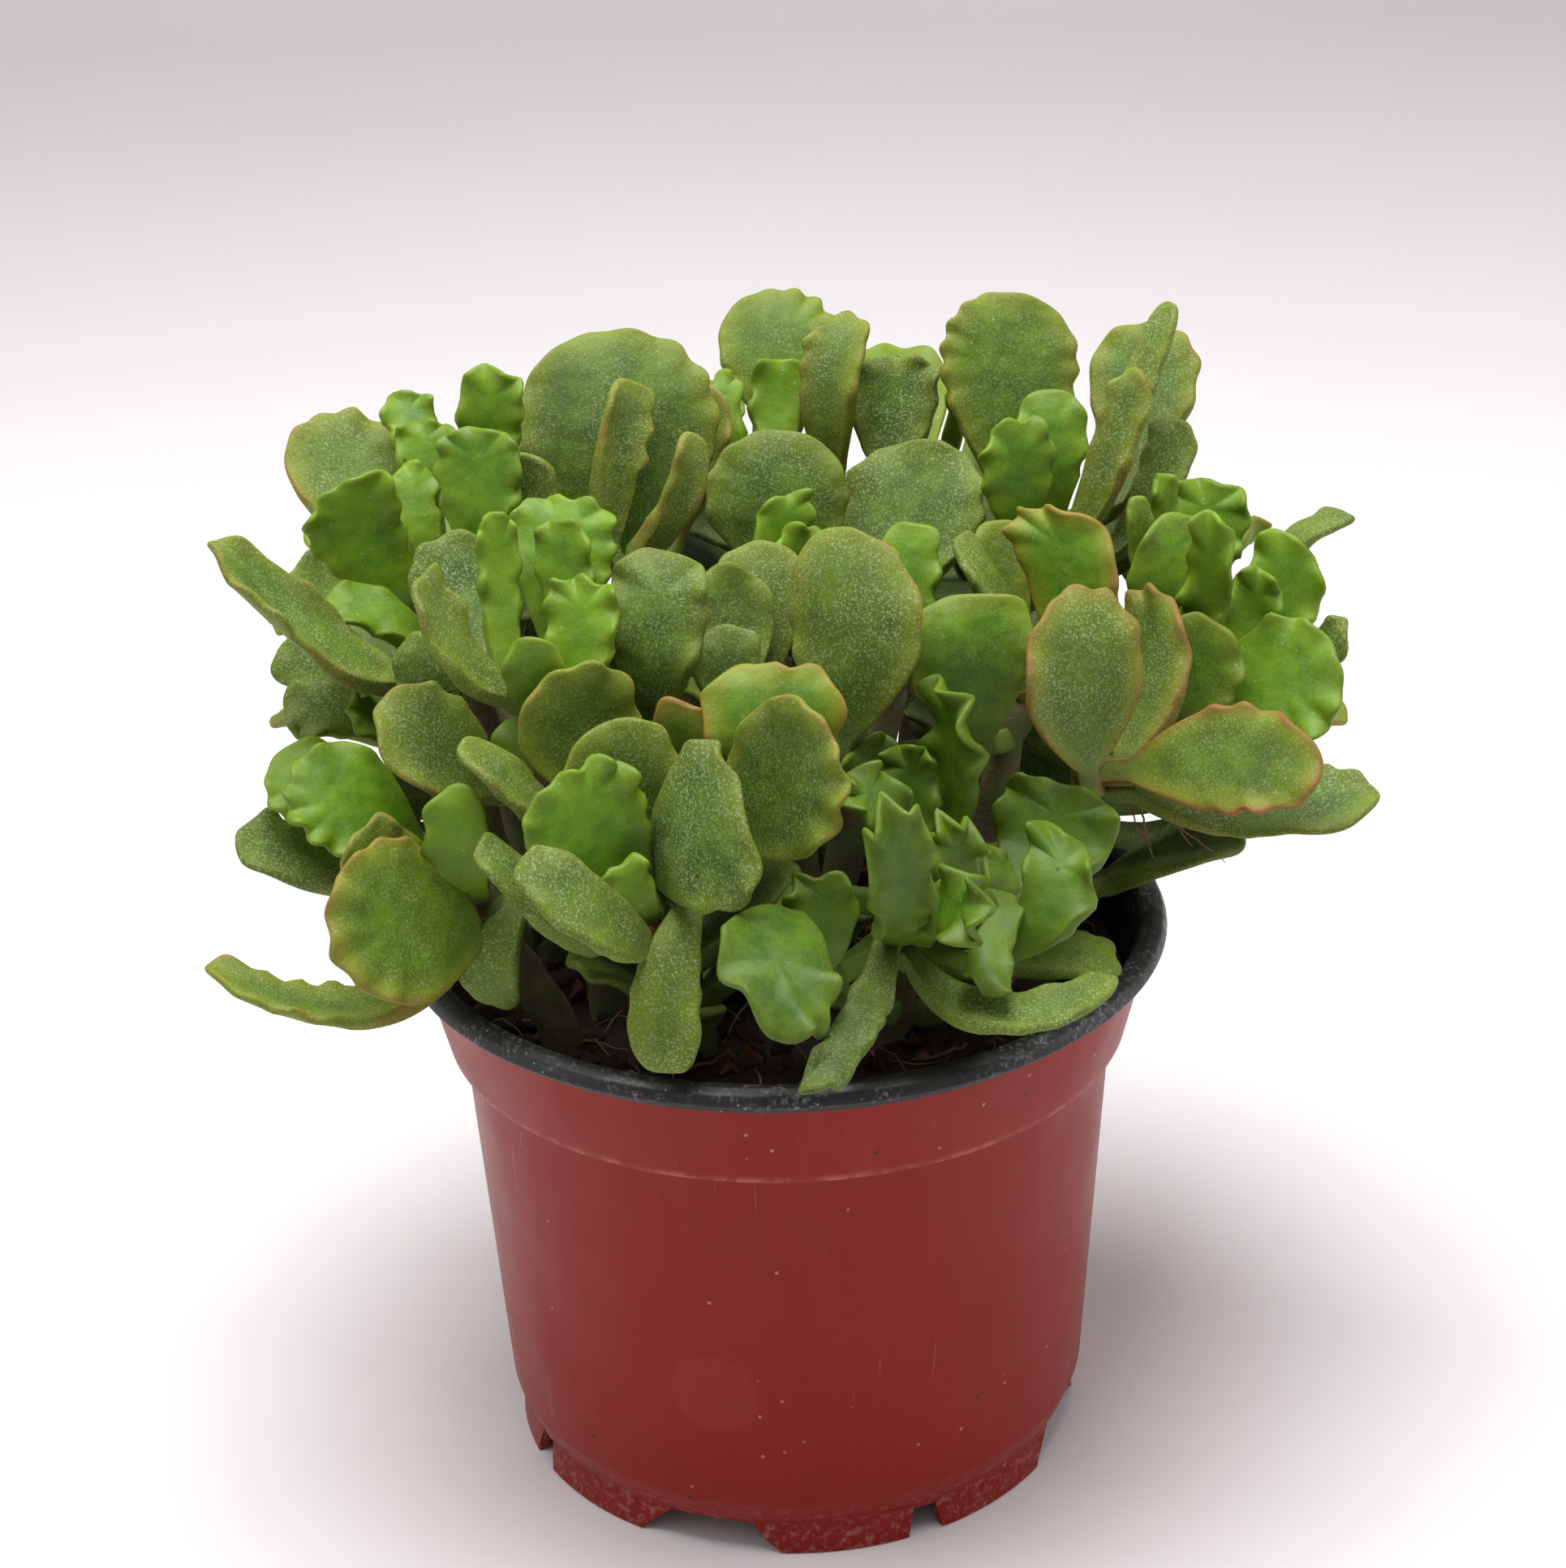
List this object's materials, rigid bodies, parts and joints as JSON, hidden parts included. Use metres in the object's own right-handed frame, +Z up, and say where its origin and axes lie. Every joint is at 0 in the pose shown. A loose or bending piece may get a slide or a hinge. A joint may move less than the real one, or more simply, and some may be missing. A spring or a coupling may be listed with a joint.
{
  "type": "potted crinkle-leaf plant",
  "caption": "Bushy crinkle-leaf succulent with wavy, thick spoon-shaped leaves in a two-tone thermoformed nursery pot filled with peat.",
  "frame": {"origin": "middle of the whole plant's bounding box, on the floor under the pot's foot", "axes": "+Z up along the pot's axis, which stands 3.4 mm to -X and 7.1 mm to -Y of the origin; -Y is the side that faces the viewer, +X is the viewer's right"},
  "size_m": [0.1546, 0.1522, 0.1546],
  "materials": {
    "pot": "brick-red thermoformed sheet outside, black rolled rim and inside, semi-matt",
    "soil": "dark, crumbly, fibrous peat, matt",
    "leaf": "fleshy green leaf, grey-green with whitish scurf when old, yellow-green when young"
  },
  "bodies": {
    "root": {"pot": "pot", "soil": "soil", "shoot_front_left": "leaf", "shoot_front_right": "leaf", "shoot_right_lower": "leaf", "shoot_right_upper": "leaf", "shoot_top_right": "leaf", "shoot_top_centre": "leaf", "shoot_top_left": "leaf", "shoot_left_upper": "leaf", "shoot_left_centre": "leaf", "shoot_left_outer": "leaf", "shoot_left_lower": "leaf", "shoot_centre": "leaf", "shoot_right_centre": "leaf", "shoot_back_left": "leaf", "shoot_back_centre": "leaf", "shoot_back_right": "leaf", "shoot_back_side": "leaf"}
  },
  "joints": []
}
